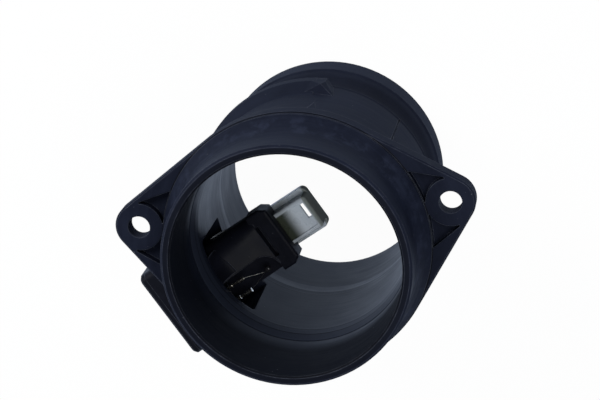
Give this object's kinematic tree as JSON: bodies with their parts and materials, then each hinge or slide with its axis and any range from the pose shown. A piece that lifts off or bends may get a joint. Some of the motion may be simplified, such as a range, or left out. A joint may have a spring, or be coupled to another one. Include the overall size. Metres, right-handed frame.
{
  "type": "mass airflow sensor",
  "caption": "Straight black moulded intake tube with a flange with screw ears and a plug-in hot-film air sensor whose grey probe tip reaches the middle of the bore.",
  "frame": {"origin": "tube axis at the far rim, on which the part stands", "axes": "+Z along the tube axis from the far rim to the near rim beyond the flange; X runs parallel to the line through the flange holes; +Y is the side to which the ears are offset"},
  "size_m": [0.1126, 0.0869, 0.1],
  "materials": {
    "housing_black": "satin black glass-filled plastic with a faint blue cast",
    "body_black": "satin black plastic",
    "tip_grey": "smooth pale grey-green plastic",
    "seal_rubber": "dull soft rubber",
    "screw_steel": "zinc-plated steel",
    "plate_metal": "plain rolled aluminium",
    "board_green": "printed circuit laminate",
    "chip_black": "moulded component",
    "ceramic_tan": "fired ceramic",
    "sensing_strip": "white alumina strip",
    "film_dark": "dark glossy film",
    "terminal_tin": "tin-plated copper alloy",
    "lead_metal": "bright tinned wire",
    "bead_glass": "glossy black glazed bead"
  },
  "bodies": {
    "root": {"tube_housing": "housing_black", "sensor_body": "body_black", "electronics_cover": "body_black", "port_seal": "seal_rubber", "mounting_screws": "screw_steel", "probe_shell": "tip_grey", "probe_back": "tip_grey", "element_carrier": "sensing_strip", "hot_film_element": "film_dark", "thermistor_posts": "lead_metal", "thermistor_leads": "lead_metal", "thermistor_bead": "bead_glass", "heat_plate": "plate_metal", "circuit_board": "board_green", "control_chip": "chip_black", "chip_capacitors": "ceramic_tan", "resistor_blocks": "chip_black", "connector_terminals": "terminal_tin"}
  },
  "joints": []
}
